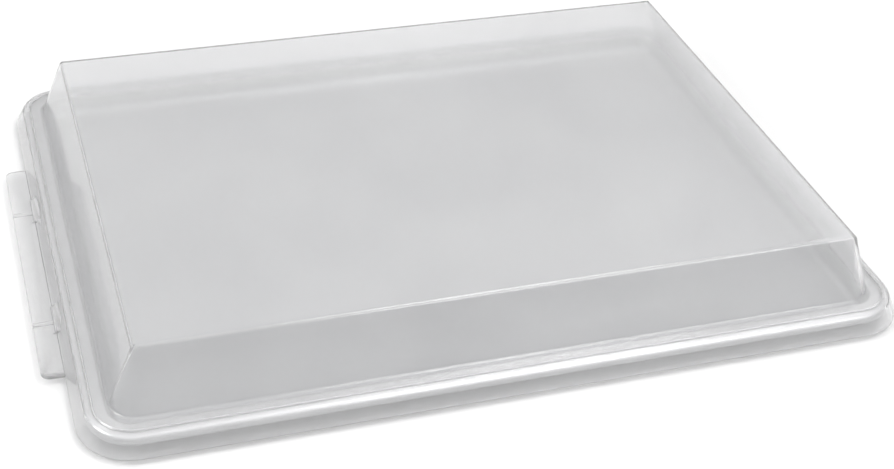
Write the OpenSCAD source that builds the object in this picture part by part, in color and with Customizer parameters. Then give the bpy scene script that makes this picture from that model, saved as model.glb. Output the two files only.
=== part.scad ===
// Shallow half-size sheet pan for display, with a clear domed snap-over cover.
// Origin: centre of the pan's underside. X runs along the length, +Z is up.

/* [Pan] */
// Length over the rolled rim
pan_l = 453; // [430:1:480]
// Width over the rolled rim
pan_w = 326; // [300:1:350]
// Height from the underside to the top of the rim
pan_h = 12.7; // [11:0.1:32]
// Thickness of the aluminium sheet
sheet_t = 1; // [0.8:0.1:1.3]
// Outer corner radius of the rim
pan_corner_r = 23.5; // [23:0.5:30]
// Width of the rim, from its outer face to the inner wall
rim_w = 10; // [8:0.5:12]
// Distance that the wall leans in between rim and floor
pan_wall_run = 3.5; // [2:0.5:6]
// Radius of the bend between wall and floor, at mid-sheet
floor_bend_r = 5; // [2:0.5:5]
// Outer radius of the rolled edge
roll_r = 3.2; // [3:0.1:3.5]

/* [Rim wire] */
// Diameter of the steel wire rolled into the rim
wire_d = 3.8; // [3:0.1:3.8]
// Gap between the two ends of the wire
wire_gap = 0.6; // [0.3:0.1:2]

/* [Cover] */
// Length over the skirt, without the tab
cover_l = 464.8; // [462:0.2:492]
// Width over the skirt
cover_w = 337.6; // [335:0.2:362]
// Wall thickness of the moulding
cover_t = 1.8; // [1.5:0.1:2]
// Outer corner radius of the skirt
cover_corner_r = 29.4; // [27:0.2:36]
// Height of the ledge above the skirt's lower edge
ledge_h = 11.9; // [11.5:0.1:14]
// Width of the rim, from the foot of the dome to the skirt's lower edge
ledge_w = 17.4; // [16.5:0.1:20]
// Height of the dome above the ledge
dome_h = 35.8; // [20:0.2:60]
// Distance that the dome's wall leans in between ledge and top
dome_run = 13.7; // [6:0.1:13.9]
// Corner radius at the foot of the dome
dome_corner_r = 14.8; // [14.8:0.1:20]
// Outer radius of the bead round the rim
bead_r = 2.9; // [2.5:0.1:3.2]
// Height of the bead's centre above the skirt's lower edge
bead_h = 8.9; // [8.6:0.1:9.2]
// Lean of the skirt from the vertical, in degrees
skirt_flare = 27; // [20:1:30]
// Gap between the seated ledge and the pan's rim
seat_gap = 0.3; // [0.2:0.1:0.5]

/* [Lift tab] */
// Length of the tab along the cover's short side
tab_l = 189; // [120:1:240]
// Place of the tab's middle along the side, from the side's own middle
tab_y = -7; // [-20:1:20]
// Distance that the tab stands out past the skirt
tab_out = 12; // [8:0.5:16]
// Thickness of the tab
tab_t = 2; // [1.8:0.1:3]
// Height of the tab's underside above the skirt's lower edge
tab_h = 1; // [0.8:0.1:2]
// Corner radius of the tab
tab_r = 5; // [3:0.5:8]
// Distance between the two gussets that brace the tab
gusset_pitch = 101; // [60:1:140]
// Length of a gusset along the side
gusset_l = 22; // [10:1:30]
// Height of a gusset's top above the skirt's lower edge
gusset_h = 7; // [5:0.5:8]
// Distance that a gusset's foot stands out past the skirt
gusset_out = 3; // [2:0.5:6]
// Thickness of the web under the tab at each gusset
web_t = 3; // [2:0.5:5]

/* [Hidden] */
$fn = 64;

// Where solids join, one is this much thinner, and reaches this far into the other
sink = 0.02;
lap = 0.1;

// Half of each wall's thickness
round_t = cover_t / 2;
bend_t = sheet_t / 2;

// Pan section, measured inwards from the rim's outer face
roll_z = pan_h - roll_r;
roll_end = 250;
wall_top_z = pan_h - bend_t;
wall_lean = atan(pan_wall_run / (wall_top_z - bend_t));
floor_edge = rim_w + pan_wall_run;
bend_sweep = 90 - wall_lean;
bend_run = floor_bend_r * tan(bend_sweep / 2);
bend_c = [-floor_edge - bend_run, bend_t + floor_bend_r];
bend_end = bend_c + floor_bend_r * [cos(wall_lean), -sin(wall_lean)];
wall_end = bend_end - lap * [sin(wall_lean), cos(wall_lean)];

// Cover section, measured outwards from the foot of the dome
skirt_z = pan_h + seat_gap + cover_t - ledge_h;
ledge_mid = ledge_h - round_t;
top_mid = ledge_h + dome_h - round_t;
dome_lean = atan(dome_run / dome_h);
wall_shift = round_t / cos(dome_lean);
top_d = -dome_run * (top_mid - ledge_h) / dome_h - wall_shift;
foot_d = -dome_run * (ledge_mid - ledge_h) / dome_h - wall_shift;
bead_mid_r = bead_r - round_t;
skirt_low = [ledge_w - round_t, round_t];
skirt_rise = bead_h + bead_mid_r * sin(skirt_flare) - round_t;
skirt_high = skirt_low + skirt_rise * [-tan(skirt_flare), 1];
bead_d = skirt_high[0] - bead_mid_r * cos(skirt_flare);
groove_d = bead_d - bead_r / 2;
function skirt_at(z) = skirt_low[0] - (z - skirt_low[1]) * tan(skirt_flare);
dome_l = cover_l - 2 * ledge_w;
dome_w = cover_w - 2 * ledge_w;

// Sheet of thickness t from p to q, with round ends
module strip(p, q, t) {
    run = q - p;
    translate(p) circle(d = t);
    translate(q) circle(d = t);
    translate(p) rotate(atan2(run[1], run[0])) translate([0, -t / 2]) square([norm(run), t]);
}

// Part of a ring about c, clockwise from angle a0 to a1, where 0 is up
module bend(c, r, a0, a1, t) {
    steps = ceil((a1 - a0) / 45);
    reach = 2 * (r + t);
    fan = [for (i = [0:steps]) let (a = a0 + (a1 - a0) * i / steps) reach * [sin(a), cos(a)]];
    translate(c) intersection() {
        difference() {
            circle(r = r + t / 2);
            circle(r = r - t / 2);
        }
        polygon(concat([[0, 0]], fan));
    }
}

// Outline of a rectangle with round corners
module round_rect(l, w, r) {
    square([l - 2 * r, w], center = true);
    square([l, w - 2 * r], center = true);
    for (x = [-1, 1], y = [-1, 1]) translate([x * (l / 2 - r), y * (w / 2 - r)]) circle(r = r);
}

// Carries a section round a rounded rectangle; the section's X is measured outwards from it
module carry_round(l, w, r) {
    far = 2 * r + ledge_w;
    for (side = [0, 1]) rotate(180 * side) {
        translate([0, -w / 2]) rotate([90, 0, -90]) translate([0, 0, -(l / 2 - r)])
            linear_extrude(l - 2 * r) children();
        translate([l / 2, 0]) rotate([90, 0, 0]) translate([0, 0, -(w / 2 - r)])
            linear_extrude(w - 2 * r) children();
        for (end = [-1, 1]) translate([l / 2 - r, end * (w / 2 - r)]) rotate(end < 0 ? -90 : 0)
            rotate_extrude(angle = 90) intersection() {
                translate([r, 0]) children();
                translate([0, -far]) square([2 * far, 4 * far]);
            }
    }
}

module pan_shell() {
    color("silver") {
        carry_round(pan_l, pan_w, pan_corner_r) {
            union() {
                bend([-roll_r, roll_z], roll_r - bend_t, 0, roll_end, sheet_t);
                strip([-rim_w, wall_top_z], [lap - roll_r, wall_top_z], sheet_t - sink);
                strip([-rim_w, wall_top_z], wall_end, sheet_t - sink);
                bend(bend_c, floor_bend_r, 90 + wall_lean, 180, sheet_t);
            }
        }
        flat_l = pan_l + 2 * bend_c[0];
        flat_w = pan_w + 2 * bend_c[0];
        linear_extrude(sheet_t) round_rect(flat_l, flat_w, pan_corner_r + bend_c[0]);
    }
}

module rim_wire() {
    color("gray") difference() {
        carry_round(pan_l, pan_w, pan_corner_r) translate([-roll_r, roll_z]) circle(d = wire_d);
        translate([-wire_gap / 2, 0, 0]) cube([wire_gap, pan_w, pan_h]);
    }
}

module rim_section() {
    bend([bead_d, bead_h], bead_mid_r, 0, 90 - skirt_flare, cover_t);
    intersection() {
        translate([bead_d, bead_h]) circle(r = bead_r);
        translate([bead_d - bead_r, ledge_h - cover_t]) square([bead_r, bead_r]);
    }
    strip([groove_d - round_t, ledge_mid], [foot_d + round_t, ledge_mid], cover_t);
    strip(skirt_high, skirt_low, cover_t);
}

module cover_dome() {
    carry_round(dome_l, dome_w, dome_corner_r)
        strip([foot_d, ledge_mid], [top_d, top_mid], cover_t);
    translate([0, 0, top_mid - round_t]) linear_extrude(cover_t)
        round_rect(dome_l + 2 * top_d, dome_w + 2 * top_d, dome_corner_r + top_d);
}

module cover_rim() {
    carry_round(cover_l, cover_w, cover_corner_r) translate([-ledge_w, 0]) rim_section();
    translate([0, 0, ledge_mid - round_t]) linear_extrude(cover_t) difference() {
        round_rect(dome_l + groove_d, dome_w + groove_d, cover_corner_r - ledge_w + groove_d / 2);
        round_rect(dome_l + 2 * foot_d, dome_w + 2 * foot_d, dome_corner_r + foot_d);
    }
}

// Brace for the tab at -X: a gusset above it and a web below it
module tab_brace() {
    edge_x = -cover_l / 2;
    foot_z = tab_h + tab_t - sink;
    web_z = 0.3;
    translate([0, gusset_l / 2, 0]) rotate([90, 0, 0])
        linear_extrude(gusset_l) polygon([
            [edge_x + cover_t, foot_z],
            [edge_x - gusset_out, foot_z],
            [edge_x + ledge_w - skirt_at(gusset_h), gusset_h],
        ]);
    translate([edge_x - tab_out + 1, -web_t / 2, web_z])
        cube([tab_out - 1 + round_t, web_t, tab_h + lap - web_z]);
}

// Lift tab at -X, with its two braces
module lift_tab() {
    edge_x = -cover_l / 2;
    translate([0, tab_y, 0]) {
        translate([0, 0, tab_h]) linear_extrude(tab_t) intersection() {
            round_rect(cover_l + 2 * tab_out, tab_l, tab_r);
            translate([edge_x - tab_out, -tab_l / 2]) square([tab_out + cover_t, tab_l]);
        }
        for (side = [-1, 1]) translate([0, side * gusset_pitch / 2, 0]) tab_brace();
    }
}

module cover() {
    color("gainsboro", 0.5) translate([0, 0, skirt_z]) {
        cover_dome();
        cover_rim();
        lift_tab();
    }
}

pan_shell();
rim_wire();
cover();
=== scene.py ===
"""Looks of a shallow half-size sheet pan under its clear cover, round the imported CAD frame. Metres, +Z up."""

import math

import bmesh
import bpy
from mathutils import Matrix, Vector


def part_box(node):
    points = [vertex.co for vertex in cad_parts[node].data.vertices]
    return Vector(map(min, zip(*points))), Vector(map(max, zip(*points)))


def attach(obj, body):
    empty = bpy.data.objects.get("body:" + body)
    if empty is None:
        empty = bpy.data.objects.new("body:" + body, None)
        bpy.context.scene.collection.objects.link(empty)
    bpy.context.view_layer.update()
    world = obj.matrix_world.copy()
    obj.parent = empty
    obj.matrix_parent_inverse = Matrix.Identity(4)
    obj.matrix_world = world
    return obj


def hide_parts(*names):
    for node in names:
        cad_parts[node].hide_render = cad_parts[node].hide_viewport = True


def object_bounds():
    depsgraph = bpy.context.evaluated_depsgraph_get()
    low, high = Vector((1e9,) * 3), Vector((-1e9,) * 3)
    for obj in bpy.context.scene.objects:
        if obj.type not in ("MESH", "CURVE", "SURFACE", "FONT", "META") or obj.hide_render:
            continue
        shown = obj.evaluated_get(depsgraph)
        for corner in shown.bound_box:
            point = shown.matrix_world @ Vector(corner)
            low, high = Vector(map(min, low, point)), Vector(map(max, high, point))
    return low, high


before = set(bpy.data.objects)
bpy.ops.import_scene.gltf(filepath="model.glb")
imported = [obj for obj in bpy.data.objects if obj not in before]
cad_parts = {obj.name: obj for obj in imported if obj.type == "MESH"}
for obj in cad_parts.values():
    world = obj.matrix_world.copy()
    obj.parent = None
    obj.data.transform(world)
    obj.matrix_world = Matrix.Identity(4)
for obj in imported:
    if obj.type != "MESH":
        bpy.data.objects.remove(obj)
cad_lo, cad_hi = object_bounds()
MM = 0.001

# ---------------------------------------------------------------- places, from the frame
cover_lo, cover_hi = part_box("cover")
pan_lo, pan_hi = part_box("pan_shell")
TAB_OUT = 12 * MM
SKIRT_L = cover_hi.x
SKIRT_W = cover_hi.y
SKIRT_Z = cover_lo.z
TOP_Z = cover_hi.z

# Cover, as moulded
WALL = 1.8 * MM
LEDGE_W = 17.4 * MM
LEDGE_Z = SKIRT_Z + 11.9 * MM
DOME_RUN = 13.7 * MM
FOOT_L = SKIRT_L - LEDGE_W
FOOT_W = SKIRT_W - LEDGE_W
DOME_CORNER = 14.8 * MM
RIM_CORNER = 12 * MM
BEAD_R = 2.9 * MM
BEAD_Z = SKIRT_Z + 8.9 * MM
FLARE = math.radians(27)
TAB_L = 189 * MM
TAB_Y = -7 * MM
TAB_T = 2 * MM
TAB_Z = SKIRT_Z + 1 * MM
TAB_R = 5 * MM
GUSSET_PITCH = 101 * MM
GUSSET_L = 22 * MM
GUSSET_H = 7 * MM
GUSSET_OUT = 3 * MM
WEB_T = 3 * MM
WEB_Z = SKIRT_Z + 0.3 * MM
WEB_INSET = 1 * MM
LAP = 0.5 * MM

# Radii on the outer and the inner side of the cover's bends
BEND_OUTER = 3.2 * MM
BEND_INNER = 1.6 * MM

# Pan, as pressed
SHEET = 1 * MM
RIM_W = 10 * MM
WALL_RUN = 3.5 * MM
ROLL_R = 3.2 * MM
PAN_CORNER = 23.5 * MM
FLOOR_BEND = 5 * MM
RIM_BEND = 1.6 * MM
ROLL_END = math.radians(250)


# ---------------------------------------------------------------- sections and lofts
def arc(centre, radius, start, end, steps):
    """Points on an arc, clockwise from start to end, where 0 is up."""
    turns = [start + (end - start) * i / steps for i in range(steps + 1)]
    return [Vector((centre[0] + radius * math.sin(a), centre[1] + radius * math.cos(a))) for a in turns]


def filleted(corners, steps=6, hold=0.5 * MM):
    """A section through corners (x, z, radius), with its corners rounded and its straights held flat."""
    points = [Vector(corners[0][:2])]
    for before, corner, after in zip(corners, corners[1:], corners[2:]):
        at = Vector(corner[:2])
        back = (Vector(before[:2]) - at).normalized()
        ahead = (Vector(after[:2]) - at).normalized()
        radius = corner[2]
        if radius <= 0:
            points.append(at)
            continue
        half = back.angle(ahead) / 2
        reach = radius / math.tan(half)
        centre = at + (back + ahead).normalized() * radius / math.sin(half)
        first, last = at + back * reach - centre, at + ahead * reach - centre
        sweep = first.angle_signed(last)
        points.append(centre + first + back * hold)
        for i in range(steps + 1):
            turn = Matrix.Rotation(-sweep * i / steps, 2)
            points.append(centre + turn @ first)
        points.append(centre + last + ahead * hold)
    points.append(Vector(corners[-1][:2]))
    return points


def ring(half_l, half_w, radius, z, round_steps, long_steps, short_steps):
    """Points round a rounded rectangle, anticlockwise from the front-left corner's end."""
    points = []
    x, y = half_l - radius, half_w - radius
    corners = ((x, -y, -90), (x, y, 0), (-x, y, 90), (-x, -y, 180))
    for i, (cx, cy, start) in enumerate(corners):
        for k in range(round_steps + 1):
            a = math.radians(start + 90 * k / round_steps)
            points.append(Vector((cx + radius * math.cos(a), cy + radius * math.sin(a), z)))
        steps = long_steps if i % 2 else short_steps
        nx, ny, next_start = corners[(i + 1) % 4]
        a = math.radians(next_start)
        end = Vector((nx + radius * math.cos(a), ny + radius * math.sin(a), z))
        begin = points[-1].copy()
        points += [begin.lerp(end, k / steps) for k in range(1, steps)]
    return points


def loft(name, section, half_l, half_w, corner_at, steps=(20, 36, 24)):
    """A closed shell: each section point (outwards, z) is carried round a rounded rectangle."""
    bm = bmesh.new()
    rings = []
    for out, z in section:
        radius = max(corner_at(out), 0.4 * MM)
        points = ring(half_l + out, half_w + out, radius, z, *steps)
        rings.append([bm.verts.new(p) for p in points])
    count = len(rings[0])
    for low, high in zip(rings, rings[1:]):
        for i in range(count):
            j = (i + 1) % count
            bm.faces.new((low[i], low[j], high[j], high[i]))
    bm.faces.new(rings[0])
    bm.faces.new(reversed(rings[-1]))
    bmesh.ops.recalc_face_normals(bm, faces=bm.faces)
    for face in bm.faces:
        face.smooth = True
    mesh = bpy.data.meshes.new(name)
    bm.to_mesh(mesh)
    bm.free()
    made = bpy.data.objects.new(name, mesh)
    bpy.context.scene.collection.objects.link(made)
    return made


def inset_run(start, z, inner, count):
    """Section points across a flat panel, from near its middle out to start."""
    return [Vector((inner + (start - inner) * i / count, z)) for i in range(count)]


# ---------------------------------------------------------------- the cover
def cover_section():
    """The moulding's section from the middle of the top, down the outside, and back up the inside."""
    lean = math.atan2(DOME_RUN, TOP_Z - LEDGE_Z)
    shift = WALL / math.cos(lean)
    bead_mid = BEAD_R - WALL / 2
    low = Vector((LEDGE_W - WALL / 2, SKIRT_Z + WALL / 2))
    rise = BEAD_Z + bead_mid * math.sin(FLARE) - low.y
    high = low + rise * Vector((-math.tan(FLARE), 1))
    bead = Vector((high.x - bead_mid * math.cos(FLARE), BEAD_Z))
    groove = bead.x - BEAD_R / 2
    middle = -FOOT_W + 6 * MM
    top_in = TOP_Z - WALL
    under = LEDGE_Z - WALL
    flat = -DOME_RUN - 6 * MM
    meet = math.radians(35)
    wall_at = lambda z: -DOME_RUN * (z - LEDGE_Z) / (TOP_Z - LEDGE_Z)
    outside = inset_run(flat, TOP_Z, middle, 8)
    outside += filleted([
        (flat, TOP_Z, 0),
        (-DOME_RUN, TOP_Z, BEND_OUTER),
        (0, LEDGE_Z, BEND_INNER),
        (groove - 0.9 * MM, LEDGE_Z, 0.9 * MM),
        (groove - 0.1 * MM, LEDGE_Z - 0.6 * MM, 0.5 * MM),
        (bead.x - BEAD_R * math.sin(meet), BEAD_Z + BEAD_R * math.cos(meet), 0),
    ], hold=0.3 * MM)[:-1]
    outside += arc(bead, BEAD_R, math.radians(-30), math.pi / 2 - FLARE, 10)
    half_wall = WALL / 2 * Vector((math.cos(FLARE), math.sin(FLARE)))
    outside += [high.lerp(low, t) + half_wall for t in (0.1, 0.5, 0.9)]
    outside += arc(low, WALL / 2, math.pi / 2 - FLARE, math.pi * 1.5 - FLARE, 8)
    inside = [high.lerp(low, t) - half_wall for t in (0.9, 0.5, 0.1)]
    inside += reversed(arc(bead, BEAD_R - WALL, 0, math.pi / 2 - FLARE, 6))
    inside += filleted([
        (bead.x - 0.4 * MM, under, 0),
        (wall_at(under) - shift, under, BEND_OUTER),
        (wall_at(top_in) - shift, top_in, BEND_INNER),
        (flat, top_in, 0),
    ], hold=0.3 * MM)
    inside += reversed(inset_run(flat, top_in, middle, 8))
    return outside + inside


def cover_corner(out):
    """The corner radius at a distance outwards from the dome's foot."""
    blend = min(max(out / (8 * MM), 0), 1)
    return out + DOME_CORNER + (RIM_CORNER - DOME_CORNER) * blend


def prism(name, outline, lift, bevel):
    """A closed solid: an outline of 3-D points swept along lift, with its edges softened."""
    bm = bmesh.new()
    ends = [[bm.verts.new(p + lift * k) for p in outline] for k in (0, 1)]
    bm.faces.new(reversed(ends[0]))
    bm.faces.new(ends[1])
    for i, low in enumerate(ends[0]):
        j = (i + 1) % len(outline)
        bm.faces.new((low, ends[0][j], ends[1][j], ends[1][i]))
    bmesh.ops.recalc_face_normals(bm, faces=bm.faces)
    edges = [e for e in bm.edges if e.calc_face_angle(0) > math.radians(40)]
    bmesh.ops.bevel(bm, geom=edges, offset=bevel, segments=2, profile=0.5, affect="EDGES")
    mesh = bpy.data.meshes.new(name)
    bm.to_mesh(mesh)
    bm.free()
    made = bpy.data.objects.new(name, mesh)
    bpy.context.scene.collection.objects.link(made)
    return made


def skirt_at(z):
    """How far out the middle of the skirt's wall is, at a height above its lower edge."""
    return LEDGE_W - WALL / 2 - (z - WALL / 2) * math.tan(FLARE)


def brace(name, section, middle_y, length, bevel):
    """A solid with its section (x, z) carried along the side, about middle_y."""
    face = [Vector((x, middle_y - length / 2, z)) for x, z in section]
    return prism(name, face, Vector((0, length, 0)), bevel)


def lift_tab():
    """The tab on the left short side, with a gusset above it and a web below it at two places."""
    root, tip = -SKIRT_L + WALL, -SKIRT_L - TAB_OUT
    near, far = TAB_Y - TAB_L / 2, TAB_Y + TAB_L / 2
    outline = [Vector((root, far, TAB_Z))]
    for middle_y, start in ((far - TAB_R, 90), (near + TAB_R, 180)):
        middle = Vector((tip + TAB_R, middle_y, TAB_Z))
        for k in range(9):
            turn = math.radians(start + 90 * k / 8)
            outline.append(middle + TAB_R * Vector((math.cos(turn), math.sin(turn), 0)))
    outline.append(Vector((root, near, TAB_Z)))
    made = [prism("tab", outline, Vector((0, 0, TAB_T)), 0.35 * MM)]
    foot, crown = TAB_Z + TAB_T - LAP, SKIRT_Z + GUSSET_H
    gusset = ((root, foot), (-SKIRT_L - GUSSET_OUT, foot), (-FOOT_L - skirt_at(GUSSET_H), crown))
    outer, inner, web_top = tip + WEB_INSET, -SKIRT_L + WALL / 2, TAB_Z + LAP
    web = ((outer, WEB_Z), (inner, WEB_Z), (inner, web_top), (outer, web_top))
    for middle_y in (TAB_Y - GUSSET_PITCH / 2, TAB_Y + GUSSET_PITCH / 2):
        made.append(brace("gusset", gusset, middle_y, GUSSET_L, 0.25 * MM))
        made.append(brace("web", web, middle_y, WEB_T, 0.15 * MM))
    return made


def unite(base, extras):
    """Joins closed solids into one skin, and leaves only its real edges sharp."""
    for extra in extras:
        join = base.modifiers.new("join", "BOOLEAN")
        join.operation = "UNION"
        join.solver = "EXACT"
        join.object = extra
    graph = bpy.context.evaluated_depsgraph_get()
    mesh = bpy.data.meshes.new_from_object(base.evaluated_get(graph))
    base.modifiers.clear()
    base.data = mesh
    for extra in extras:
        bpy.data.meshes.remove(extra.data)
    mesh.set_sharp_from_angle(angle=math.radians(38))
    return base


cover = unite(
    loft("clear_cover", cover_section(), FOOT_L, FOOT_W, cover_corner),
    lift_tab(),
)


# ---------------------------------------------------------------- the pan
def pan_section():
    """The sheet's section from the middle of the floor up the inside, round the roll, and back underneath."""
    rim_z = pan_hi.z
    roll = Vector((-ROLL_R, rim_z - ROLL_R))
    lean = math.atan2(WALL_RUN, rim_z - SHEET)
    edge = -RIM_W - WALL_RUN
    shift = SHEET / 2 / math.cos(lean)
    middle = -pan_hi.y + 8 * MM
    flat = edge - 12 * MM
    wall_at = lambda z: -RIM_W - WALL_RUN * (rim_z - SHEET / 2 - z) / (rim_z - SHEET)
    top = inset_run(flat, SHEET, middle, 8)
    top += filleted([
        (flat, SHEET, 0),
        (wall_at(SHEET) - shift, SHEET, FLOOR_BEND - SHEET / 2),
        (wall_at(rim_z) - shift, rim_z, RIM_BEND),
        (-ROLL_R, rim_z, 0),
    ], hold=0.4 * MM)[:-1]
    top += arc(roll, ROLL_R, 0, ROLL_END, 24)
    under = list(reversed(arc(roll, ROLL_R - SHEET, 0, ROLL_END, 24)))
    under += filleted([
        (-ROLL_R, rim_z - SHEET, 0),
        (wall_at(rim_z - SHEET) + shift, rim_z - SHEET, RIM_BEND - SHEET),
        (wall_at(0) + shift, 0, FLOOR_BEND + SHEET / 2),
        (flat, 0, 0),
    ], hold=0.4 * MM)[1:]
    under += reversed(inset_run(flat, 0, middle, 8))
    return top + under


pan = loft("sheet_pan", pan_section(), pan_hi.x, pan_hi.y, lambda out: out + PAN_CORNER)


# ---------------------------------------------------------------- materials
def material(name):
    """A node material, with its node tree and Principled shader."""
    made = bpy.data.materials.new(name)
    made.use_nodes = True
    return made, made.node_tree, made.node_tree.nodes["Principled BSDF"]


def noise(tree, scale, stretch=(1, 1, 1), detail=4):
    """Noise fixed to the piece, in features per metre, drawn out where stretch is small."""
    place = tree.nodes.new("ShaderNodeTexCoord")
    mapping = tree.nodes.new("ShaderNodeMapping")
    mapping.inputs["Scale"].default_value = stretch
    made = tree.nodes.new("ShaderNodeTexNoise")
    made.inputs["Scale"].default_value = scale
    made.inputs["Detail"].default_value = detail
    tree.links.new(place.outputs["Object"], mapping.inputs["Vector"])
    tree.links.new(mapping.outputs["Vector"], made.inputs["Vector"])
    return made.outputs["Fac"]


def between(tree, source, low, high):
    """Turns noise into a number from low to high."""
    made = tree.nodes.new("ShaderNodeMapRange")
    made.inputs["From Min"].default_value = 0.3
    made.inputs["From Max"].default_value = 0.7
    made.inputs["To Min"].default_value = low
    made.inputs["To Max"].default_value = high
    tree.links.new(source, made.inputs["Value"])
    return made.outputs["Result"]


def blend(tree, source, first, second):
    """Turns noise into a colour from first to second."""
    made = tree.nodes.new("ShaderNodeValToRGB")
    made.color_ramp.elements[0].position = 0.32
    made.color_ramp.elements[1].position = 0.68
    made.color_ramp.elements[0].color = (*first, 1)
    made.color_ramp.elements[1].color = (*second, 1)
    tree.links.new(source, made.inputs["Fac"])
    return made.outputs["Color"]


def relief(tree, shader, source, height):
    """Raises the surface by up to height where the noise is high."""
    made = tree.nodes.new("ShaderNodeBump")
    made.inputs["Strength"].default_value = 1.0
    made.inputs["Distance"].default_value = height
    tree.links.new(source, made.inputs["Height"])
    tree.links.new(made.outputs["Normal"], shader.inputs["Normal"])


def clear_plastic():
    """Clear moulded plastic, a little milky, with fine scuffs and a slow ripple from the mould."""
    made, tree, shader = material("clear_plastic")
    shader.inputs["IOR"].default_value = 1.49
    shader.inputs["Transmission Weight"].default_value = 0.84
    tint = blend(tree, noise(tree, 7, detail=2), (0.84, 0.84, 0.845), (0.87, 0.87, 0.875))
    tree.links.new(tint, shader.inputs["Base Color"])
    haze = between(tree, noise(tree, 160, stretch=(1, 3, 1)), 0.08, 0.14)
    tree.links.new(haze, shader.inputs["Roughness"])
    relief(tree, shader, noise(tree, 24, detail=1), 0.00003)
    out = tree.nodes["Material Output"]
    light = tree.nodes.new("ShaderNodeLightPath")
    clear = tree.nodes.new("ShaderNodeBsdfTransparent")
    clear.inputs["Color"].default_value = (0.42, 0.42, 0.42, 1)
    mix = tree.nodes.new("ShaderNodeMixShader")
    tree.links.new(light.outputs["Is Shadow Ray"], mix.inputs["Fac"])
    tree.links.new(shader.outputs["BSDF"], mix.inputs[1])
    tree.links.new(clear.outputs["BSDF"], mix.inputs[2])
    tree.links.new(mix.outputs["Shader"], out.inputs["Surface"])
    return made


def rolled_aluminium():
    """Satin sheet aluminium: rolling grain and cloudy wear on the floor. Painted light: the colour is painted
    darker on the floor as shade under the cover and lighter on the rim as if lit.
    """
    made, tree, shader = material("rolled_aluminium")
    shader.inputs["Metallic"].default_value = 1.0
    grain = noise(tree, 900, stretch=(0.03, 1, 1))
    # Painted light: the floor tone is painted darker as shade under the cover, and the rim tone is painted
    # lighter as if lit. The two are blended by height below.
    shaded_floor_tone = blend(tree, noise(tree, 11, detail=3), (0.54, 0.545, 0.555), (0.62, 0.625, 0.63))
    lit_rim_tone = blend(tree, grain, (0.72, 0.725, 0.73), (0.79, 0.79, 0.795))
    place = tree.nodes.new("ShaderNodeTexCoord")
    split = tree.nodes.new("ShaderNodeSeparateXYZ")
    height = tree.nodes.new("ShaderNodeMapRange")
    height.inputs["From Min"].default_value = pan_lo.z + 3 * MM
    height.inputs["From Max"].default_value = pan_hi.z - 2 * MM
    painted_light_by_height = tree.nodes.new("ShaderNodeMix")
    painted_light_by_height.data_type = "RGBA"
    tree.links.new(place.outputs["Object"], split.inputs["Vector"])
    tree.links.new(split.outputs["Z"], height.inputs["Value"])
    tree.links.new(height.outputs["Result"], painted_light_by_height.inputs["Factor"])
    tree.links.new(shaded_floor_tone, painted_light_by_height.inputs["A"])
    tree.links.new(lit_rim_tone, painted_light_by_height.inputs["B"])
    tree.links.new(painted_light_by_height.outputs["Result"], shader.inputs["Base Color"])
    tree.links.new(between(tree, grain, 0.4, 0.54), shader.inputs["Roughness"])
    relief(tree, shader, grain, 0.00001)
    return made


def galvanised_steel():
    """Zinc-coated wire: matt mottled grey."""
    made, tree, shader = material("galvanised_steel")
    shader.inputs["Metallic"].default_value = 1.0
    mottle = noise(tree, 450, stretch=(0.5, 0.5, 1))
    tree.links.new(blend(tree, mottle, (0.4, 0.41, 0.43), (0.6, 0.61, 0.62)), shader.inputs["Base Color"])
    tree.links.new(between(tree, mottle, 0.42, 0.6), shader.inputs["Roughness"])
    relief(tree, shader, mottle, 0.00002)
    return made


def pale_floor():
    """Matt painted board, all but white."""
    made, tree, shader = material("pale_floor")
    shader.inputs["Roughness"].default_value = 0.85
    paint = blend(tree, noise(tree, 3), (0.72, 0.72, 0.72), (0.74, 0.74, 0.74))
    tree.links.new(paint, shader.inputs["Base Color"])
    relief(tree, shader, noise(tree, 600), 0.00003)
    return made


cover.data.materials.append(clear_plastic())
pan.data.materials.append(rolled_aluminium())
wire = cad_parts["rim_wire"]
wire.data.materials.clear()
wire.data.materials.append(galvanised_steel())

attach(cover, "cover")
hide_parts("cover")
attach(pan, "pan")
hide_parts("pan_shell")


# ---------------------------------------------------------------- floor, light and camera
HORIZON = 0.2
ZENITH = 1.22


def pale_stage():
    """A plain floor."""
    bm = bmesh.new()
    bmesh.ops.create_grid(bm, x_segments=8, y_segments=8, size=6)
    mesh = bpy.data.meshes.new("stage_floor")
    bm.to_mesh(mesh)
    bm.free()
    floor = bpy.data.objects.new("stage_floor", mesh)
    bpy.context.scene.collection.objects.link(floor)
    floor.location.z = cad_lo.z - 0.0002
    mesh.materials.append(pale_floor())


def soft_light(name, place, aim, size, power):
    """A rectangular area light at place, turned to face aim; power in watts."""
    data = bpy.data.lights.new(name, "AREA")
    data.shape = "RECTANGLE"
    data.size, data.size_y = size
    data.energy = power
    lamp = bpy.data.objects.new(name, data)
    bpy.context.scene.collection.objects.link(lamp)
    lamp.location = place
    lamp.rotation_euler = (Vector(aim) - Vector(place)).to_track_quat("-Z", "Y").to_euler()
    return lamp


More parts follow.
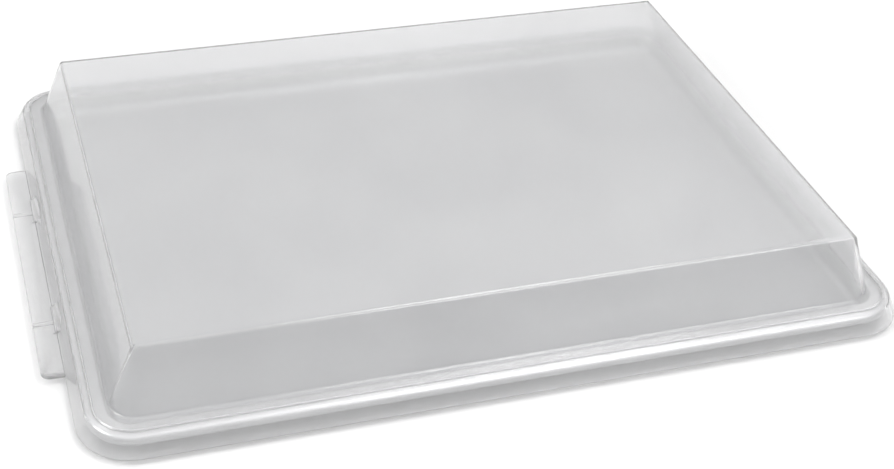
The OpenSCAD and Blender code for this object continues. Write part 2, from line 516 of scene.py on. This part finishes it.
def studio():
    """A white room that darkens towards the horizon, and three softboxes."""
    world = bpy.data.worlds.new("studio")
    bpy.context.scene.world = world
    world.use_nodes = True
    tree = world.node_tree
    place = tree.nodes.new("ShaderNodeTexCoord")
    split = tree.nodes.new("ShaderNodeSeparateXYZ")
    level = tree.nodes.new("ShaderNodeMapRange")
    level.inputs["From Min"].default_value = 0.0
    level.inputs["From Max"].default_value = 0.7
    level.inputs["To Min"].default_value = HORIZON
    level.inputs["To Max"].default_value = ZENITH
    tree.links.new(place.outputs["Generated"], split.inputs["Vector"])
    tree.links.new(split.outputs["Z"], level.inputs["Value"])
    tree.links.new(level.outputs["Result"], tree.nodes["Background"].inputs["Strength"])
    tree.nodes["Background"].inputs["Color"].default_value = (1, 1, 1, 1)
    soft_light("key_softbox", (0.5, -0.35, 1.5), (0, 0, 0), (0.7, 0.4), 6)
    soft_light("left_softbox", (-1.2, -0.1, 0.9), (0, 0, 0), (0.6, 0.6), 7)
    soft_light("front_softbox", (0.6, -1.2, 0.85), (0, 0, 0), (0.8, 0.45), 5)
    bpy.context.scene.view_settings.view_transform = "Standard"


def camera():
    """The camera, turned about the aim point and rolled a little, as the part is seen from the front left."""
    azimuth, elevation, roll = (math.radians(a) for a in (-18.1, 37.8, 3.3))
    distance = 880.5 * MM
    aim = Vector((-51.0 * MM, -29.4 * MM, SKIRT_Z))
    back = Vector((
        math.sin(azimuth) * math.cos(elevation),
        -math.cos(azimuth) * math.cos(elevation),
        math.sin(elevation),
    ))
    data = bpy.data.cameras.new("camera")
    data.sensor_width = 36
    data.lens = 60.55
    data.shift_x, data.shift_y = 0.0956, 0.0156
    data.clip_start = 0.01
    made = bpy.data.objects.new("camera", data)
    bpy.context.scene.collection.objects.link(made)
    made.rotation_mode = "QUATERNION"
    level = (-back).to_track_quat("-Z", "Y")
    made.rotation_quaternion = level @ Matrix.Rotation(roll, 3, "Z").to_quaternion()
    made.location = aim + back * distance
    bpy.context.scene.camera = made


pale_stage()
studio()
camera()
